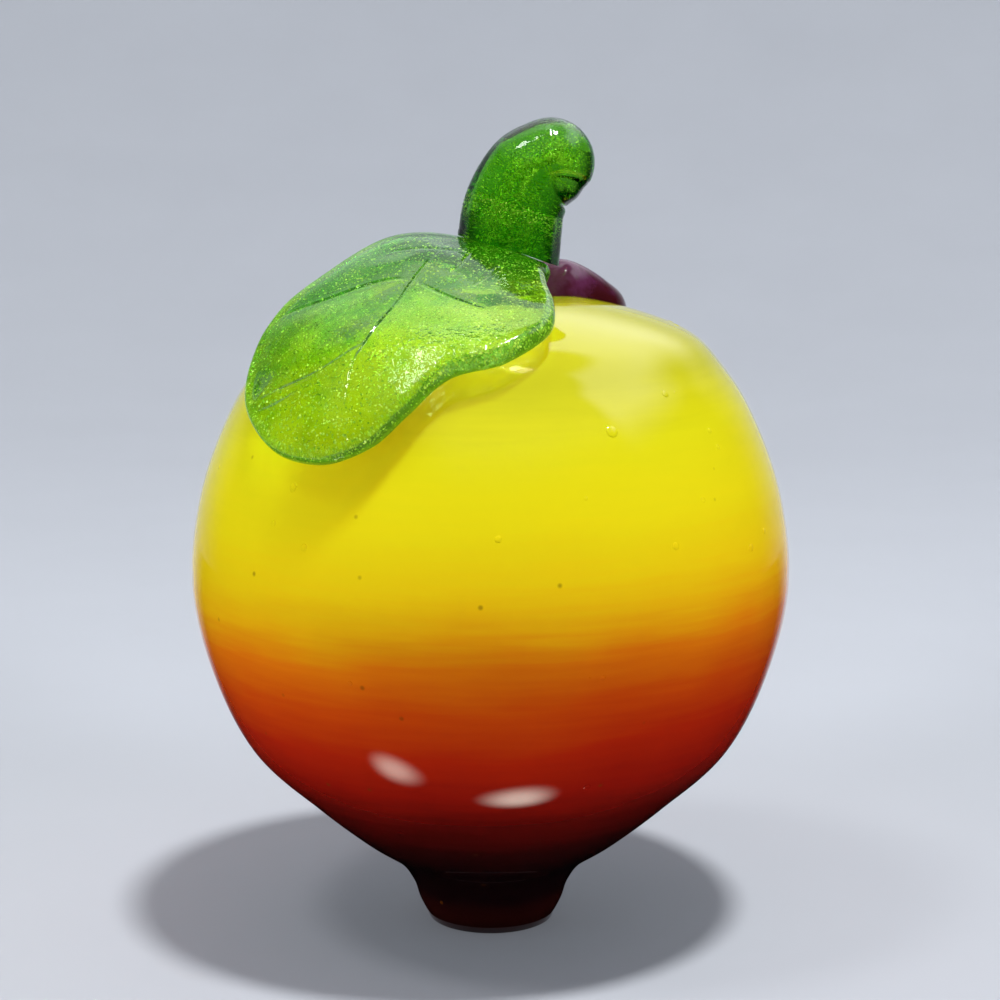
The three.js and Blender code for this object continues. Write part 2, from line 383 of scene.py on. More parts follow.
def on_skin(u, v, lift):
    """Points of the skin map, lifted off the skin."""
    arc = np.maximum(np.hypot(u, v), 1e-6)
    angle = arc / SKIN_RADIUS
    reach = np.interp(angle, skin_angle, skin_reach) + lift
    side = reach * np.sin(angle) / arc
    return np.stack([u * side, v * side, BELLY_HEIGHT + reach * np.cos(angle)], -1)


def green_lift(u, v):
    """How far the green leaf's top is off the skin: a crest at the left of the stem, and a dip under
    the stem and towards the front."""
    crest = GREEN_CREST * bump(u, v, *GREEN_CREST_PLACE, GREEN_CREST_REACH)
    under_stem = smooth_step(u, 1, 9) * np.exp(-((v / 9) ** 2))
    front = smooth_step(-v, 8, 22)
    return GREEN_LIFT + crest - GREEN_STEM_DIP * under_stem - GREEN_FRONT_DIP * front


def green_half(u, v):
    """Half the leaf's thickness: under the stem it is a root wad that sits on the crown."""
    wad = (green_lift(u, v) - SEAT_GAP) / 2
    return lerp(GREEN_HALF, wad, bump(u, v, *GREEN_ROOT_PLACE, GREEN_ROOT_REACH))


def amethyst_half(u, v):
    """Half the small leaf's thickness, which swells towards the stem."""
    return AMETHYST_HALF + AMETHYST_SWELL * bump(u, v, *AMETHYST_SWELL_PLACE, AMETHYST_SWELL_REACH)


def amethyst_lift(u, v):
    """The small leaf is welded on: its underside has sunk a little into the skin."""
    return 2 * amethyst_half(u, v) - AMETHYST_SINK


def pressed_depth(veins, u, v):
    """How far the veins and the valleys beside them are pressed into the top of a leaf."""
    depth = np.zeros_like(u)
    valley = np.zeros_like(u)
    for vein in veins:
        part = np.linspace(0, 1, VEIN_STEPS)
        path, _ = spline(vein, part)
        taper = VEIN_TIP_SHARE + (1 - VEIN_TIP_SHARE) * np.sin(part * pi)
        gap = np.hypot(u[..., None] - path[:, 0], v[..., None] - path[:, 1])
        nearest = gap.argmin(-1)
        gap = gap.min(-1)
        width = VEIN_HALF_WIDTH * taper[nearest]
        groove = VEIN_DEPTH * taper[nearest] * (1 - smooth_step(gap, 0.1 * width, width))
        depth = np.maximum(depth, groove)
        valley = np.maximum(valley, PILLOW_DEPTH * np.exp(-((gap / PILLOW_REACH) ** 2)))
    return depth + valley


def draped_leaf(name, leaf, lift_at, half_at, spokes, rings):
    """A leaf lying over the crown: pressed veins on top, a rounded rim and a plain underside."""
    rim, _ = spline(leaf["outline"], np.linspace(0, 1, spokes, endpoint=False), closed=True)
    middle = np.array(leaf["middle"], float)
    span = np.linalg.norm(rim - middle, axis=1)
    blunt = leaf["root"](*rim.T)
    edge = np.minimum(lerp(leaf["edge_rounding"], ROOT_EDGE_ROUNDING, blunt), 0.45 * span)
    rim_height = lerp(leaf["rim_height"], ROOT_RIM_HEIGHT, blunt)
    lower_rim = smooth_step(-rim[:, 1], *LOWER_RIM)

    def ring(inset, swell, side):
        part = 1 - inset / span
        u, v = (middle + (rim - middle) * part[:, None]).T
        thick = 2 * half_at(u, v)
        share = rim_height + swell * (1 - rim_height) if side > 0 else rim_height * (1 - swell)
        curl = LEAF_CURL * lower_rim * (1 - smooth_step(inset, 0, LEAF_CURL_REACH))
        lift = lift_at(u, v) + curl - thick * (1 - share)
        if side > 0:
            lift = lift - swell * pressed_depth(leaf["veins"], u, v)
        return np.column_stack([on_skin(u, v, lift), inset])

    def half(side, count):
        flat = [ring(lerp(span, edge, k / count), 1, side) for k in range(1, count + 1)]
        turns = np.linspace(0, pi / 2, 19)[1:-1]
        return flat + [ring(edge * (1 - sin(t)), cos(t), side) for t in turns]

    u, v = middle[:, None]
    under = on_skin(u, v, lift_at(u, v) - 2 * half_at(u, v))[0]
    over = on_skin(u, v, lift_at(u, v) - pressed_depth(leaf["veins"], u, v))[0]
    skin = np.array(half(-1, rings // 6) + [ring(0 * span, 0, 1)] + half(1, rings)[::-1])
    piece = piece_from_rings(name, skin[..., :3], under, over)
    from_left = smooth_step(rim[:, 0], *EDGE_SHADE_LEFT)
    to_right = lerp(1, EDGE_SHADE_RIGHT_SHARE, smooth_step(rim[:, 0], *EDGE_SHADE_RIGHT))
    front_rim = lower_rim * from_left * to_right
    edge_shade = front_rim * (1 - smooth_step(skin[..., 3], *EDGE_SHADE_REACH))
    # Painted light at the lower rim: where a pale green is mixed into the glass, fading inwards.
    edge_painted_light = lower_rim * (1 - smooth_step(skin[..., 3], *EDGE_PAINTED_LIGHT_REACH))
    for title, values in (("edge_shade", edge_shade), ("edge_painted_light", edge_painted_light)):
        layer = piece.data.attributes.new(title, "FLOAT", "POINT")
        layer.data.foreach_set("value", np.append(values.ravel(), [0, 0]))
    return piece


def leaf_top_height(x, y):
    """Height of the top of the green leaf's root over a point of the frame."""
    u, v = x.copy(), y.copy()
    for _ in range(12):
        place = on_skin(u, v, green_lift(u, v))
        u = u + x - place[..., 0]
        v = v + y - place[..., 1]
    return place[..., 2]


# The stem


def rolling_mean(values, reach):
    """Values eased along their first axis over a number of steps to each side."""
    values = np.asarray(values, float)
    weights = np.hanning(2 * reach + 3)[1:-1]
    steps = np.arange(len(values))
    near = [np.clip(steps + k, 0, len(values) - 1) for k in range(-reach, reach + 1)]
    return sum(w * values[k] for w, k in zip(weights / weights.sum(), near))


def tucked(across, bend):
    """Keeps the inside of the bend from folding through itself."""
    bend = max(bend, 1e-6)
    over = np.maximum(across * bend - 0.7, 0)
    return np.where(over > 0, (0.7 + 0.27 * (1 - np.exp(-over / 0.27))) / bend, across)


def crease_depth(x, z):
    """How far the skin is tucked in under the crease where the end of the rod folds over."""
    line = np.array(STEM_CREASE)
    under = np.interp(x, line[:, 0], line[:, 1]) - z
    below = smooth_step(x, *STEM_CREASE_START) * smooth_step(under, 0, STEM_CREASE_LIP)
    inside = below * (1 - smooth_step(under, *STEM_CREASE_TUCK))
    return STEM_CREASE_DEPTH * inside * (1 - smooth_step(x, *STEM_CREASE_END))


def bent_stem():
    """The rod with its flutes, its foot laid on the leaf's root and its end rounded off."""
    stations = np.array(STEM_STATIONS, float)
    turn = np.linspace(0, 2 * pi, STEM_SIDES, endpoint=False)

    def ring(place, along, radius, flute, bend=0):
        r = radius + flute * np.cos(STEM_FLUTES * turn)
        across = tucked(r * np.cos(turn), bend)
        depth = r * np.sin(turn)
        return np.stack([place[0] + along[1] * across, depth, place[1] - along[0] * across], 1)

    part = np.linspace(0, 1, STEM_STEPS)
    place, along = spline(stations, part)
    flute = STEM_FLUTE_DEPTH * (1 - smooth_step(part, 0.5, 1))
    angle = rolling_mean(np.arctan2(along[:, 1], along[:, 0]), 17)
    heading = np.stack([np.cos(angle), np.sin(angle)], 1)
    bend = -np.gradient(angle) / np.linalg.norm(np.gradient(place[:, :2], axis=0), axis=1)
    rings = [ring(p, a, p[2], f, b) for p, a, f, b in zip(place, heading, flute, bend)]
    tip_along = heading[-1]
    end_radius = stations[-1][2]
    rounding = np.linspace(0, pi / 2, 26)[1:-1]
    ends = stations[-1][:2] + np.outer(np.sin(rounding), tip_along * end_radius)
    rings += [ring(p, tip_along, end_radius * cos(t), 0) for p, t in zip(ends, rounding)]
    rings = np.array(rings)
    keep = smooth_step(np.arange(len(rings)), STEM_STEPS, STEM_STEPS + STEM_END_EASE)[:, None, None]
    rings = lerp(rolling_mean(rings, 6), rings, keep)
    centre = np.vstack([place[:, :2], ends])
    centre = np.stack([centre[:, 0], 0 * centre[:, 0], centre[:, 1]], 1)[:, None]
    tuck = crease_depth(rings[..., 0], rings[..., 2]) / end_radius
    rings = lerp(rings, centre, tuck[..., None])
    foot = rings[0].copy()
    seat = leaf_top_height(foot[:, 0], foot[:, 1]) + STEM_SEAT_GAP
    shoulder = rings[STEM_FOOT_STEPS, :, 2].copy()
    for k in range(STEM_FOOT_STEPS):
        share = (rings[k, :, 2] - foot[:, 2]) / (shoulder - foot[:, 2])
        rings[k, :, 2] = lerp(seat, shoulder, share)
    middle = np.array([stations[0][0], 0])
    base = []
    for share in np.linspace(0, 1, 14)[1:-1]:
        flat = middle + (foot[:, :2] - middle) * share
        base.append(np.column_stack([flat, leaf_top_height(*flat.T) + STEM_SEAT_GAP]))
    tip = stations[-1][:2] + tip_along * end_radius
    low = leaf_top_height(middle[:1], middle[1:])[0] + STEM_SEAT_GAP
    return piece_from_rings("stem", [*base, *rings], (*middle, low), (tip[0], 0, tip[1]))


# Materials


def new_material(name):
    material = bpy.data.materials.new(name)
    material.use_nodes = True
    material.node_tree.nodes.clear()
    return material, material.node_tree


def noise(tree, coords, size_mm, **inputs):
    """A cloudy pattern with blotches of a real size."""
    pattern = {"Vector": coords, "Scale": 1 / (size_mm * MM), **inputs}
    return add(tree, "ShaderNodeTexNoise", pattern).outputs["Fac"]


def maths(tree, operation, *values):
    """The result of a sum on values or sockets."""
    return add(tree, "ShaderNodeMath", dict(enumerate(values)), operation=operation).outputs[0]


def two_tones(tree, factor, colours, span=(0, 1)):
    """A ramp from one colour to another between two places of the factor."""
    ramp = add(tree, "ShaderNodeValToRGB", {"Fac": factor})
    for stop, place, colour in zip(ramp.color_ramp.elements, span, colours):
        stop.position = place
        stop.color = colour
    return ramp.outputs["Color"]


# Colours of the cased wall by height in millimetres: the red gather thins out up to the belly
WALL_COLOURS_AND_CROWN_SHADE = [
    (0, "#1C0808"),
    (4, "#2C0A08"),
    (7, "#150608"),
    (12, "#1A0808"),
    (17, "#340A0A"),
    (23, "#620E0A"),
    (29, "#98170B"),
    (35, "#B6250B"),
    (41, "#D0480B"),
    (47, "#E6760D"),
    (52, "#F0B00F"),
    (57, "#F2CC11"),
    (64, "#ECD813"),
    # Painted shade: the stops from here up to the crown are darkened against the key lamp overhead.
    (74, "#DCD415"),
    (81, "#C0BC13"),
]
WALL_COLOURS_TOP = 90

# Patterns of the cased wall in millimetres: clouds and turned threads move the colours up and down,
# which lean a little to one side, grains of dark glass lie here and there, and the skin ripples
WALL_CLOUD = 22
WALL_CLOUD_DRIFT = 5
WALL_THREAD = 14
WALL_THREAD_SQUEEZE = 14
WALL_THREAD_DRIFT = 3.5
WALL_LEAN = (-0.06, 0, 1)
WALL_GRAIN_SPACING = 5
WALL_GRAIN_SHARE = 0.6
WALL_GRAIN_EDGE = (0.085, 0.03)
WALL_GRAIN_STRENGTH = 0.55
WALL_RIPPLE = 16
WALL_RIPPLE_DEPTH = 0.08

# Hot-worked glass: how far its clouds run from deep to pale, its wrinkles in millimetres,
# the light that it lets through and that its rim lets through, the colour and share of the painted
# light at the rim, and the share of its colour that its shadow is cleared of
CLOUD_SPAN = (0.36, 0.62)
CLOUD_SHIFT = 0.14
WRINKLE = 1.1
CAST_LIGHT = "#FFFAFD"
RIM_CAST_LIGHT = "#C08448"
RIM_PAINTED_LIGHT_COLOUR = "#80B81C"
RIM_PAINTED_LIGHT_SHARE = 0.36
SHADOW_CLEARING = 0.65


def cased_glass():
    """Blown cased glass, fire-polished: a mirror-clean skin with the colour lying close under it."""
    material, tree = new_material("fire-polished cased glass")
    coords = add(tree, "ShaderNodeTexCoord").outputs["Object"]
    cloud = noise(tree, coords, WALL_CLOUD, Detail=2.0)
    squeezed = add(tree, "ShaderNodeMapping", {"Vector": coords, "Scale": (1, 1, WALL_THREAD_SQUEEZE)})
    threads = noise(tree, squeezed.outputs[0], WALL_THREAD, Detail=4.0)
    height = add(tree, "ShaderNodeVectorMath", {0: coords, 1: WALL_LEAN}, operation="DOT_PRODUCT")
    drift = maths(tree, "MULTIPLY_ADD", cloud, WALL_CLOUD_DRIFT * MM, -WALL_CLOUD_DRIFT / 2 * MM)
    combed = maths(tree, "MULTIPLY_ADD", threads, WALL_THREAD_DRIFT * MM, drift)
    drifted = maths(tree, "ADD", height.outputs["Value"], combed)
    level = add(
        tree,
        "ShaderNodeMapRange",
        {"Value": drifted, "From Min": 1 * MM, "From Max": (WALL_COLOURS_TOP + 1) * MM},
    )
    ramp = add(tree, "ShaderNodeValToRGB", {"Fac": level.outputs["Result"]})
    stops = ramp.color_ramp.elements
    while len(stops) < len(WALL_COLOURS_AND_CROWN_SHADE):
        stops.new(1)
    for stop, (z, colour) in zip(stops, WALL_COLOURS_AND_CROWN_SHADE):
        stop.position = z / WALL_COLOURS_TOP
        stop.color = linear(colour)
    spacing = {"Vector": coords, "Scale": 1 / (WALL_GRAIN_SPACING * MM)}
    grains_and_painted_rim_light = add(tree, "ShaderNodeTexVoronoi", spacing)
    pick = add(tree, "ShaderNodeSeparateColor", {"Color": grains_and_painted_rim_light.outputs["Color"]})
    chosen = maths(tree, "GREATER_THAN", pick.outputs["Red"], WALL_GRAIN_SHARE)
    near = add(
        tree,
        "ShaderNodeMapRange",
        {
            "Value": grains_and_painted_rim_light.outputs["Distance"],
            "From Min": WALL_GRAIN_EDGE[0],
            "From Max": WALL_GRAIN_EDGE[1],
            "To Max": WALL_GRAIN_STRENGTH,
        },
    )
    speck = maths(tree, "MULTIPLY", near.outputs[0], chosen)
    colour = add(
        tree,
        "ShaderNodeMix",
        {0: speck, 6: ramp.outputs["Color"], 7: linear("#6A3A08")},
        data_type="RGBA",
    )
    ripple = noise(tree, coords, WALL_RIPPLE, Detail=1.0)
    skin = add(
        tree, "ShaderNodeBump", {"Height": ripple, "Distance": WALL_RIPPLE_DEPTH * MM, "Strength": 1.0}
    )
    surface = add(
        tree,
        "ShaderNodeBsdfPrincipled",
        {
            "Base Color": colour.outputs[2],
            "Roughness": 0.035,
            "IOR": 1.52,
            "Normal": skin.outputs["Normal"],
        },
    )
    add(tree, "ShaderNodeOutputMaterial", {"Surface": surface.outputs[0]})
    return material


def opaque_gather(name, colour):
    """A gather of opaque glass inside the wall, seen only through the neck: an even, glossy colour."""
    material, tree = new_material(name)
    coords = add(tree, "ShaderNodeTexCoord").outputs["Object"]
    cloud = noise(tree, coords, 15, Detail=2.0)
    full = linear(colour)
    deep = tuple(0.75 * c for c in full[:3]) + (1,)
    shades = two_tones(tree, cloud, (deep, full))
    surface = add(tree, "ShaderNodeBsdfPrincipled", {"Base Color": shades, "Roughness": 0.12, "IOR": 1.52})
    add(tree, "ShaderNodeOutputMaterial", {"Surface": surface.outputs[0]})
    return material


def hot_worked_glass(
    name,
    *,
    clearness,
    deep,
    pale,
    cloud_mm,
    fade,
    tint,
    density,
    ripple_mm,
    ripple_depth_mm,
    haze=None,
    wrinkled=(),
):
    """Coloured glass worked hot and fire-polished: the colour deepens with thickness and is clouded from
    place to place, and the skin is a polish with faint ripples, wrinkled where it was pinched. Light
    passes on to what lies under it, golden and less of it through a wedge-shaped rim, which bends it
    away. At that rim a matt pale green is mixed into the glass as painted light, so the rim reads lit."""
    material, tree = new_material(name)
    coords = add(tree, "ShaderNodeTexCoord").outputs["Object"]
    ripple = noise(tree, coords, ripple_mm, Detail=4.0)
    skin = add(
        tree, "ShaderNodeBump", {"Height": ripple, "Distance": ripple_depth_mm * MM, "Strength": 1.0}
    )
    for place, reach, depth_mm in wrinkled:
        away = add(tree, "ShaderNodeVectorMath", {0: coords, 1: Vector(place) * MM}, operation="DISTANCE")
        near = add(
            tree,
            "ShaderNodeMapRange",
            {"Value": away.outputs["Value"], "From Min": reach * MM, "From Max": 0.3 * reach * MM},
            interpolation_type="SMOOTHSTEP",
        )
        wrinkle = noise(tree, coords, WRINKLE, Detail=2.0, Distortion=1.2)
        skin = add(
            tree,
            "ShaderNodeBump",
            {
                "Height": wrinkle,
                "Distance": depth_mm * MM,
                "Strength": near.outputs["Result"],
                "Normal": skin.outputs["Normal"],
            },
        )
    cloud = noise(tree, coords, cloud_mm, Detail=6.0, Roughness=0.7)
    along, low, high = fade
    reach = add(tree, "ShaderNodeVectorMath", {0: coords, 1: along}, operation="DOT_PRODUCT")
    lighter = add(
        tree,
        "ShaderNodeMapRange",
        {
            "Value": reach.outputs["Value"],
            "From Min": low * MM,
            "From Max": high * MM,
            "To Min": -CLOUD_SHIFT,
            "To Max": CLOUD_SHIFT,
        },
    )
    clouded = maths(tree, "ADD", cloud, lighter.outputs[0])
    glass = add(
        tree,
        "ShaderNodeBsdfPrincipled",
        {
            "Base Color": two_tones(tree, clouded, (linear(deep), linear(pale)), CLOUD_SPAN),
            "Roughness": 0.04,
            "IOR": 1.5,
            "Transmission Weight": clearness,
            "Normal": skin.outputs["Normal"],
        },
    )
    rim = add(tree, "ShaderNodeAttribute", attribute_name="edge_shade").outputs["Fac"]
    leaving = add(tree, "ShaderNodeNewGeometry").outputs["Backfacing"]
    entering = maths(tree, "SUBTRACT", 1.0, leaving)
    cast = add(
        tree,
        "ShaderNodeMix",
        {0: maths(tree, "MULTIPLY", rim, entering), 6: linear(CAST_LIGHT), 7: linear(RIM_CAST_LIGHT)},
        data_type="RGBA",
    )
    passes = add(tree, "ShaderNodeBsdfTransparent", {"Color": cast.outputs[2]})
    # Painted light: a matt pale green mixed in at the lower rim, so that the rim reads lit.
    painted_light_mask = add(tree, "ShaderNodeAttribute", attribute_name="edge_painted_light").outputs["Fac"]
    painted_light_share = maths(tree, "MULTIPLY", painted_light_mask, RIM_PAINTED_LIGHT_SHARE)
    painted_light_finish = {"Base Color": linear(RIM_PAINTED_LIGHT_COLOUR), "Roughness": 0.2}
    grains_and_painted_rim_light = add(tree, "ShaderNodeBsdfPrincipled", painted_light_finish)
    seen = add(tree, "ShaderNodeMixShader", {0: painted_light_share, 1: glass.outputs[0], 2: grains_and_painted_rim_light.outputs[0]})
    path = add(tree, "ShaderNodeLightPath").outputs
    stray = maths(tree, "MULTIPLY", path["Is Diffuse Ray"], rim)
    on_the_way = maths(tree, "MAXIMUM", path["Is Shadow Ray"], stray)
    surface = add(tree, "ShaderNodeMixShader", {0: on_the_way, 1: seen.outputs[0], 2: passes.outputs[0]})
    thick = maths(tree, "MULTIPLY_ADD", path["Is Shadow Ray"], -SHADOW_CLEARING * density, density)
    body = add(tree, "ShaderNodeVolumeAbsorption", {"Color": linear(tint), "Density": thick})
    if haze:
        mist = add(tree, "ShaderNodeVolumeScatter", {"Color": linear(haze[0]), "Density": haze[1]})
        body = add(tree, "ShaderNodeAddShader", {0: body.outputs[0], 1: mist.outputs[0]})
    add(tree, "ShaderNodeOutputMaterial", {"Surface": surface.outputs[0], "Volume": body.outputs[0]})
    return material


def aventurine_flake():
    """Flakes grown in green aventurine glass: tiny bright plates, some yellow and some green."""
    material, tree = new_material("aventurine flake")
    coords = add(tree, "ShaderNodeTexCoord").outputs["Object"]
    mottle = noise(tree, coords, 0.9)
    tones = two_tones(tree, mottle, (linear("#7FA82C"), linear("#EEF684")), (0.35, 0.6))
    surface = add(tree, "ShaderNodeBsdfPrincipled", {"Base Color": tones, "Roughness": 0.25})
    add(tree, "ShaderNodeOutputMaterial", {"Surface": surface.outputs[0]})
    return material


# Flakes inside the green glass and gas seeds in the skin of the bubble

FLAKE_SIDES = 6
FLAKE_SIZES = (0.4, 1.9)
FLAKE_COVER = 0.1
STRAY_SEED_DRAW = 5


def flake_tree(material):
    """Scatters small six-sided plates under a surface, each turned at random and sunk to a random depth."""
    tree = bpy.data.node_groups.new("flakes under a glass skin", "GeometryNodeTree")
    for name, kind in (
        ("Geometry", "NodeSocketGeometry"),
        ("Density", "NodeSocketFloat"),
        ("Flake Radius", "NodeSocketFloat"),
        ("Least Depth", "NodeSocketFloat"),
        ("Most Depth", "NodeSocketFloat"),
        ("Seed", "NodeSocketInt"),
    ):
        tree.interface.new_socket(name, in_out="INPUT", socket_type=kind)
    tree.interface.new_socket("Geometry", in_out="OUTPUT", socket_type="NodeSocketGeometry")
    given = add(tree, "NodeGroupInput").outputs
    points = add(
        tree,
        "GeometryNodeDistributePointsOnFaces",
        {"Mesh": given["Geometry"], "Density": given["Density"], "Seed": given["Seed"]},
    )
    depth = add(
        tree,
        "FunctionNodeRandomValue",
        {2: given["Least Depth"], 3: given["Most Depth"], "Seed": given["Seed"]},
        data_type="FLOAT",
    )
    inward = add(
        tree,
        "ShaderNodeVectorMath",
        {0: points.outputs["Normal"], "Scale": depth.outputs[1]},
        operation="SCALE",
    )
    sunk = add(
        tree, "ShaderNodeVectorMath", {0: inward.outputs[0], 1: (-1, -1, -1)}, operation="MULTIPLY"
    )
    placed = add(
        tree, "GeometryNodeSetPosition", {"Geometry": points.outputs["Points"], "Offset": sunk.outputs[0]}
    )
    plate = add(
        tree,
        "GeometryNodeMeshCircle",
        {"Vertices": FLAKE_SIDES, "Radius": given["Flake Radius"]},
        fill_type="NGON",
    )
    spin = add(
        tree,
        "FunctionNodeRandomValue",
        {0: (0, 0, 0), 1: (2 * pi, 2 * pi, 2 * pi), "Seed": given["Seed"]},
        data_type="FLOAT_VECTOR",
    )
    size = add(
        tree,
        "FunctionNodeRandomValue",
        {2: FLAKE_SIZES[0], 3: FLAKE_SIZES[1], "Seed": given["Seed"]},
        data_type="FLOAT",
    )
    flakes = add(
        tree,
        "GeometryNodeInstanceOnPoints",
        {
            "Points": placed.outputs[0],
            "Instance": plate.outputs["Mesh"],
            "Rotation": spin.outputs[0],
            "Scale": size.outputs[1],
        },
    )
    real = add(tree, "GeometryNodeRealizeInstances", {"Geometry": flakes.outputs[0]})
    dressed = add(tree, "GeometryNodeSetMaterial", {"Geometry": real.outputs[0], "Material": material})
    add(tree, "NodeGroupOutput", {"Geometry": dressed.outputs[0]})
    return tree


def seed_tree(material):
    """Sets a low round dome on a skin at each given point, as wide as the point says."""
    tree = bpy.data.node_groups.new("gas seeds in a glass skin", "GeometryNodeTree")
    tree.interface.new_socket("Geometry", in_out="INPUT", socket_type="NodeSocketGeometry")
    tree.interface.new_socket("Skin", in_out="INPUT", socket_type="NodeSocketObject")
    tree.interface.new_socket("Geometry", in_out="OUTPUT", socket_type="NodeSocketGeometry")
    given = add(tree, "NodeGroupInput").outputs
    skin = add(tree, "GeometryNodeObjectInfo", {"Object": given["Skin"]}).outputs["Geometry"]
    normal = add(tree, "GeometryNodeInputNormal")
    outward = add(
        tree,
        "GeometryNodeSampleNearestSurface",
        {"Mesh": skin, "Value": normal.outputs[0]},
        data_type="FLOAT_VECTOR",
    )
    nearest = add(tree, "GeometryNodeProximity", {0: skin}, target_element="FACES")
    placed = add(
        tree,
        "GeometryNodeSetPosition",
        {"Geometry": given["Geometry"], "Position": nearest.outputs["Position"]},
    )
    upright = add(
        tree, "FunctionNodeAlignRotationToVector", {"Vector": outward.outputs["Value"]}, axis="Z"
    )
    width = add(tree, "GeometryNodeInputNamedAttribute", {"Name": "seed_radius"}, data_type="FLOAT")
    shape = add(
        tree,
        "ShaderNodeVectorMath",
        {0: (1, 1, SEED_FLATNESS), "Scale": width.outputs[0]},
        operation="SCALE",
    )
    ball = add(tree, "GeometryNodeMeshUVSphere", {"Segments": 14, "Rings": 8, "Radius": 1.0})
    domes = add(
        tree,
        "GeometryNodeInstanceOnPoints",
        {
            "Points": placed.outputs[0],
            "Instance": ball.outputs["Mesh"],
            "Rotation": upright.outputs[0],
            "Scale": shape.outputs[0],
        },
    )
    real = add(tree, "GeometryNodeRealizeInstances", {"Geometry": domes.outputs[0]})
    smooth = add(tree, "GeometryNodeSetShadeSmooth", {"Geometry": real.outputs[0]})
    dressed = add(tree, "GeometryNodeSetMaterial", {"Geometry": smooth.outputs[0], "Material": material})
    add(tree, "NodeGroupOutput", {"Geometry": dressed.outputs[0]})
    return tree


def gas_seeds(skin, material):
    """Gas seeds: small bubbles caught under the skin, which lift it into low shiny domes."""
    chance = np.random.default_rng(STRAY_SEED_DRAW)
    turn = chance.uniform(0, 2 * pi, STRAY_SEEDS)
    place, _ = spline(BUBBLE_PROFILE, chance.uniform(*STRAY_SEED_SPAN, STRAY_SEEDS))
    strays = np.stack([place[:, 0] * np.cos(turn), place[:, 0] * np.sin(turn), place[:, 1]], 1)
    strays = strays[place[:, 0] < BELLY_RADIUS - 0.5]
    points = np.vstack([[seed[:3] for seed in SEEDS], strays])
    radii = np.append([seed[3] for seed in SEEDS], chance.uniform(*STRAY_SEED_RADII, len(strays)))
    mesh = bpy.data.meshes.new("gas_seeds_maker")
    mesh.from_pydata((points * MM).tolist(), [], [])
    width = mesh.attributes.new("seed_radius", "FLOAT", "POINT")
    width.data.foreach_set("value", radii * MM)
    return grown("gas_seeds", seed_tree(material), mesh, {"Skin": skin})


def scatter(name, tree, carrier, settings):
    """Runs a scatter tree on a piece and keeps what lies inside it."""
    piece = grown(name, tree, carrier.data.copy(), settings)
    keep_inside(piece.data, carrier.data)
    return piece


def grown(name, tree, mesh, settings):
    """Runs a tree of geometry nodes on a mesh and keeps the result as a piece with a plain mesh."""
    maker = bpy.data.objects.new(name + "_maker", mesh)
    bpy.context.scene.collection.objects.link(maker)
    modifier = maker.modifiers.new("scatter", "NODES")
    modifier.node_group = tree
    for item in tree.interface.items_tree:
        if item.in_out == "INPUT" and item.name in settings:
            modifier[item.identifier] = settings[item.name]
    evaluated = maker.evaluated_get(bpy.context.evaluated_depsgraph_get())
    piece = bpy.data.objects.new(name, bpy.data.meshes.new_from_object(evaluated))
    bpy.data.objects.remove(maker)
    bpy.context.scene.collection.objects.link(piece)
    return piece


def keep_inside(mesh, glass):
    """Takes away the flakes that would come out where the glass is thinner than they are deep."""
    skin = BVHTree.FromPolygons([v.co for v in glass.vertices], [f.vertices for f in glass.polygons])
    work = bmesh.new()
    work.from_mesh(mesh)
    loose = []
    for face in work.faces:
        middle = face.calc_center_median()
        place, normal, _, _ = skin.find_nearest(middle)
        if (middle - place).dot(normal) > -FLAKE_COVER * MM:
            loose.append(face)
    bmesh.ops.delete(work, geom=loose, context="FACES")
    work.to_mesh(mesh)
    work.free()


# Making the object

body_glass = cased_glass()
green_glass = hot_worked_glass(
    "green aventurine glass",
    clearness=1.0,
    deep="#9CDC84",
    pale="#FDFFE0",
    cloud_mm=6,
    fade=((0.35, -0.5, -0.65), -58, -42),
    tint="#C6EE78",
    density=480,
    ripple_mm=1.6,
    ripple_depth_mm=0.04,
    haze=("#C8FF68", 22),
    wrinkled=[
        ((-9.4, -33, 84.8), 8, 0.15),
        ((-1.6, -32, 87.3), 6.5, 0.14),
        ((5.2, -19.9, 92.7), 2.5, 0.16),
    ],
)
stem_glass = hot_worked_glass(
    "dark green aventurine glass",
    clearness=1.0,
    deep="#8CC87C",
    pale="#F8FFE0",
    cloud_mm=3,
    # Painted light: the colour turns paler up towards the top of the stem, where the lamps overhead fall.
    fade=((0, 0, 1), 95, 108),
    tint="#BCEB6C",
    density=400,
    ripple_mm=3.0,
    ripple_depth_mm=0.03,
    wrinkled=[((7.9, -2.5, 112.6), 3.6, 0.16)],
)
amethyst_glass = hot_worked_glass(
    "amethyst glass",
    clearness=0.2,
    deep="#44121A",
    pale="#602A50",
    cloud_mm=5,
    fade=((-1, 0, 0.5), 26, 40),
    tint="#DD629F",
    density=700,
    ripple_mm=3.0,
    ripple_depth_mm=0.02,
)
flake = aventurine_flake()

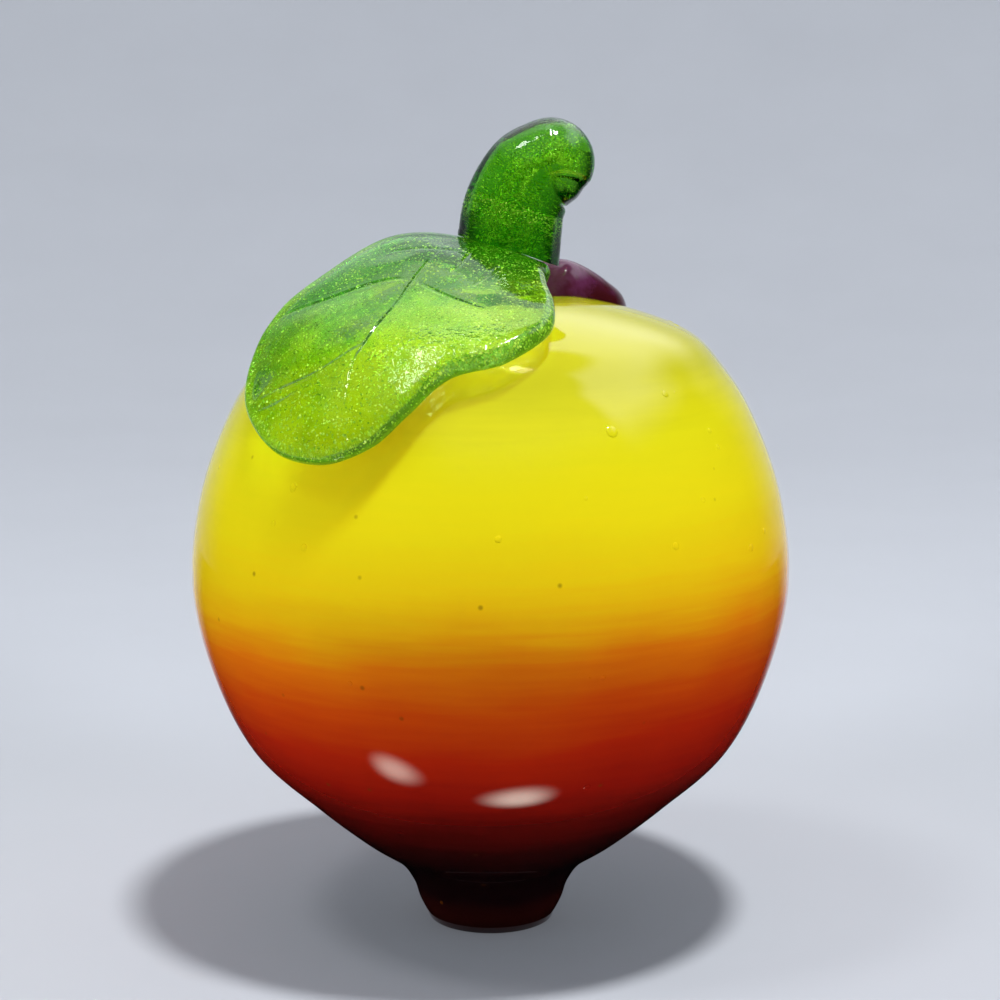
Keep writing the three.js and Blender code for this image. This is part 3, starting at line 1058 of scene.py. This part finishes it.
finish_piece(inner_core(), opaque_gather("opaque yellow glass", "#EFDC18"), "yellow_core")
finish_piece(inner_overlay(), opaque_gather("deep red glass", "#7A120A"), "red_overlay")
casing = outer_casing()
seeds = gas_seeds(casing, body_glass)
finish_piece(casing, body_glass, "clear_casing")
finish_piece(seeds, body_glass)
green_leaf = draped_leaf("green_leaf", GREEN_LEAF, green_lift, green_half, 600, 96)
amethyst_leaf = draped_leaf("amethyst_leaf", AMETHYST_LEAF, amethyst_lift, amethyst_half, 240, 40)
stem = bent_stem()
flakes = flake_tree(flake)
leaf_flakes = scatter(
    "leaf_flakes",
    flakes,
    green_leaf,
    {
        "Density": 3.4e6,
        "Flake Radius": 0.1 * MM,
        "Least Depth": 0.15 * MM,
        "Most Depth": 1.4 * MM,
        "Seed": 4,
    },
)
stem_flakes = scatter(
    "stem_flakes",
    flakes,
    stem,
    {
        "Density": 14e6,
        "Flake Radius": 0.07 * MM,
        "Least Depth": 2.2 * MM,
        "Most Depth": 6 * MM,
        "Seed": 9,
    },
)
finish_piece(green_leaf, green_glass, "green_leaf")
finish_piece(amethyst_leaf, amethyst_glass, "amethyst_leaf")
finish_piece(stem, stem_glass, "stem")
finish_piece(leaf_flakes, flake)
finish_piece(stem_flakes, flake)

# Stage, lights and camera

# Dish: its flat floor, the bend up into the backdrop and the top of the backdrop
STAGE_FLAT = 450
STAGE_RISE = 850
STAGE_TOP = 1500

# Velvet curtain: it fades out at the top, higher on the left, and opens between two angles from the back
CURTAIN_RADIUS = 440
CURTAIN_TOP = 640
CURTAIN_FADE = (305, 540)
CURTAIN_LEFT_RISE = 100
CURTAIN_OPENING = (16, 64)

# Velvet board on the floor: where it starts, its opening at the back and how far it runs into that
BOARD_START = 9.3
BOARD_OPENING = (26, 48)
BOARD_FADE = (60, 150)

# Lit cards: patches of the floor as x, y, half width, half depth and glow, a panel overhead,
# and a card at the back whose sides and rises are angles
FLOOR_GLINTS = [(7, -37.6, 12, 7, 7.2), (-28.2, -42.3, 11.5, 7, 5.8)]
FLOOR_GLINT_HEIGHT = 1.3
CEILING_HEIGHT = 1400
CEILING_RADIUS = 520
CEILING_GLOW = 1.6
CARD_DISTANCE = 900
CARD_SIDES = (-78, 118)
CARD_SIDE_FADES = (60, 10)
CARD_RISES = (18, 86)
CARD_RISE_FADES = (14, 8)
CARD_RIGHT_TOP = 66
CARD_DIM = (0.35, 1.4)
CARD_DIM_RISES = (58, 76)
CARD_GLOW = 2.1

# Lamps: place, size and watts. The fills stand outside the dish, so they cast no shadows.
AIM = (0, 0, 60)
KEY_LAMP = ((180, -190, 1150), (130, 130), 11.6)
LEFT_LAMP = ((-460, -240, 1150), (230, 230), 2.2)
FILL_LAMPS = {
    "front_fill": ((0, -1440, 1004), (1440, 960), 4.35),
    "left_fill": ((-1425, 90, 450), (900, 900), 10.1),
    "right_fill": ((1425, 90, 450), (900, 900), 4.7),
}
SKY_GLOW = 0.29


def stage_paint():
    """Matt painted board with a faint sheen, pale and plain."""
    material, tree = new_material("pale painted board")
    coords = add(tree, "ShaderNodeTexCoord").outputs["Object"]
    mottle = noise(tree, coords, 60, Detail=3.0)
    tones = two_tones(tree, mottle, (linear("#B6BAC1"), linear("#BCC0C7")))
    surface = add(tree, "ShaderNodeBsdfPrincipled", {"Base Color": tones, "Roughness": 0.5, "IOR": 1.45})
    add(tree, "ShaderNodeOutputMaterial", {"Surface": surface.outputs[0]})
    return material


def stage_dish():
    """A round floor that turns up into a backdrop on every side."""
    bend = np.linspace(0, pi / 2, 25)
    curve = [(STAGE_FLAT + STAGE_RISE * sin(t), STAGE_RISE * (1 - cos(t))) for t in bend]
    flat = [(r, 0) for r in (60, 150, 250, 350)]
    rings = turned(flat + curve + [(STAGE_FLAT + STAGE_RISE, STAGE_TOP)], 128)
    dish = piece_from_rings("stage", rings, (0, 0, 0))
    dish.data.flip_normals()
    dish.data.materials.append(stage_paint())


def lamp(name, place, size, watts, shape="RECTANGLE"):
    """A soft lamp aimed at the middle of the object."""
    light = bpy.data.lights.new(name, "AREA")
    light.shape = shape
    light.size = size[0] * MM
    light.size_y = size[1] * MM
    light.energy = watts
    holder = bpy.data.objects.new(name, light)
    holder.location = Vector(place) * MM
    aim = Vector(AIM) * MM - holder.location
    holder.rotation_euler = aim.to_track_quat("-Z", "Y").to_euler()
    bpy.context.scene.collection.objects.link(holder)
    return holder


def reflection_card(name, rings, cover, surface_of, in_gloss=True, in_glass=True):
    """A card that only gloss or clear glass sees: a grid of points, soft-edged by its own cover."""
    rings = np.asarray(rings, float) * MM
    count, sides, _ = rings.shape
    faces = [
        (k * sides + i, k * sides + i + 1, (k + 1) * sides + i + 1, (k + 1) * sides + i)
        for k in range(count - 1)
        for i in range(sides - 1)
    ]
    mesh = bpy.data.meshes.new(name)
    mesh.from_pydata(rings.reshape(-1, 3).tolist(), [], faces)
    mesh.shade_smooth()
    layer = mesh.attributes.new("cover", "FLOAT", "POINT")
    layer.data.foreach_set("value", np.asarray(cover, float).ravel())
    material, tree = new_material(name)
    shown = add(tree, "ShaderNodeAttribute", attribute_name="cover")
    open_air = add(tree, "ShaderNodeBsdfTransparent")
    surface = add(
        tree,
        "ShaderNodeMixShader",
        {0: shown.outputs["Fac"], 1: open_air.outputs[0], 2: surface_of(tree).outputs[0]},
    )
    add(tree, "ShaderNodeOutputMaterial", {"Surface": surface.outputs[0]})
    mesh.materials.append(material)
    card = bpy.data.objects.new(name, mesh)
    card.visible_camera = False
    card.visible_diffuse = False
    card.visible_shadow = False
    card.visible_glossy = in_gloss
    card.visible_transmission = in_glass
    bpy.context.scene.collection.objects.link(card)


def matt_black(tree):
    velvet = {"Base Color": linear("#0A0A0C"), "Roughness": 0.9, "Specular IOR Level": 0.0}
    return add(tree, "ShaderNodeBsdfPrincipled", velvet)


def dark_curtain():
    """Black velvet round the front and sides and on the floor, which keeps the gloss clean and draws
    the edges of clear glass. It fades out towards the back and the top."""
    turn = np.radians(np.linspace(0, 360, 145))
    across = np.stack([np.sin(turn), np.cos(turn)], 1)
    from_back = np.degrees(np.arccos(np.clip(across[:, 1], -1, 1)))
    open_back = smooth_step(from_back, *CURTAIN_OPENING)
    heights = np.linspace(1, CURTAIN_TOP, 33)
    rings = [np.column_stack([across * CURTAIN_RADIUS, np.full(len(turn), z)]) for z in heights]
    raised = heights[:, None] - CURTAIN_LEFT_RISE * smooth_step(-across[:, 0], 0.2, 0.8)
    cover = (1 - smooth_step(raised, *CURTAIN_FADE)) * open_back
    reflection_card("black velvet", rings, cover, matt_black)
    reaches = np.geomspace(BOARD_START, CURTAIN_RADIUS, 33)
    rings = [np.column_stack([across * r, np.ones(len(turn))]) for r in reaches]
    near = 1 - smooth_step(reaches[:, None], *BOARD_FADE)
    cover = lerp(near, 1, smooth_step(from_back, *BOARD_OPENING))
    reflection_card("black board", rings, cover, matt_black, in_glass=False)


def bright_card():
    """A pale lit card high at the back and right: its soft reflection lies over the crown and the leaf."""
    side = np.linspace(*CARD_SIDES, 61)
    rise = np.linspace(*CARD_RISES, 37)
    around = np.stack([np.sin(np.radians(side)), np.cos(np.radians(side))], 1)
    rings = [
        np.column_stack([around * cos(t), np.full(len(side), sin(t))]) * CARD_DISTANCE + AIM
        for t in np.radians(rise)
    ]
    low, high = CARD_RISES
    left, right = CARD_SIDES
    rise = rise[:, None]
    top = lerp(high, CARD_RIGHT_TOP, smooth_step(side, -10, 30))
    cover = smooth_step(rise, low, low + CARD_RISE_FADES[0])
    cover = cover * (1 - smooth_step(rise, top - CARD_RISE_FADES[1], top))
    cover = cover * smooth_step(side, left, left + CARD_SIDE_FADES[0])
    cover = cover * (1 - smooth_step(side, right - CARD_SIDE_FADES[1], right))
    dim = lerp(*CARD_DIM, smooth_step(rise, *CARD_DIM_RISES))
    cover = cover * lerp(dim, 1, smooth_step(side, -25, 50))
    glow = {"Color": linear("#F4F6FF"), "Strength": CARD_GLOW}
    reflection_card("lit card", rings, cover, lambda tree: add(tree, "ShaderNodeEmission", glow))


def glowing_disc(name, place, radii, colour, strength, core, **seen):
    """A round lit card that lies level, brightest in the middle."""
    turn = np.radians(np.linspace(0, 360, 49))
    shares = np.linspace(0.01, 1, 17)
    across = np.stack([radii[0] * np.sin(turn), radii[1] * np.cos(turn), 0 * turn], 1)
    rings = [across * share + place for share in shares]
    cover = np.outer(1 - smooth_step(shares, core, 1), np.ones(len(turn)))
    glow = {"Color": linear(colour), "Strength": strength}
    reflection_card(name, rings, cover, lambda tree: add(tree, "ShaderNodeEmission", glow), **seen)


def level_cards():
    """A lit panel overhead, whose light clear glass gathers and sends on through its sides, and the lit
    patches of the floor that glint on the underside of the bubble."""
    overhead = (CEILING_RADIUS, CEILING_RADIUS)
    ceiling = (0, 0, CEILING_HEIGHT)
    glowing_disc("ceiling panel", ceiling, overhead, "#F4F6FF", CEILING_GLOW, 0.6, in_gloss=False)
    for x, y, wide, deep, glow in FLOOR_GLINTS:
        place = (x, y, FLOOR_GLINT_HEIGHT)
        glowing_disc("floor glint", place, (wide, deep), "#F4F2E2", glow, 0.1, in_glass=False)


stage_dish()
dark_curtain()
bright_card()
level_cards()
lamp("key_lamp", *KEY_LAMP, shape="ELLIPSE")
lamp("left_lamp", *LEFT_LAMP)
for name, settings in FILL_LAMPS.items():
    fill = lamp(name, *settings)
    fill.visible_glossy = False
    fill.data.use_shadow = False

scene = bpy.context.scene
world = bpy.data.worlds.new("studio")
world.use_nodes = True
world.node_tree.nodes.clear()
sky = add(world.node_tree, "ShaderNodeBackground", {"Color": linear("#E6EAF2"), "Strength": SKY_GLOW})
add(world.node_tree, "ShaderNodeOutputWorld", {"Surface": sky.outputs[0]})
scene.world = world
scene.view_settings.view_transform = "Standard"

camera = bpy.data.cameras.new("camera")
camera.lens = CAMERA_LENS
camera.clip_start = 1 * MM
viewer = bpy.data.objects.new("camera", camera)
viewer.location = Vector(CAMERA_PLACE) * MM
viewer.rotation_euler = (radians(90 - CAMERA_PITCH), 0, 0)
scene.collection.objects.link(viewer)
scene.camera = viewer
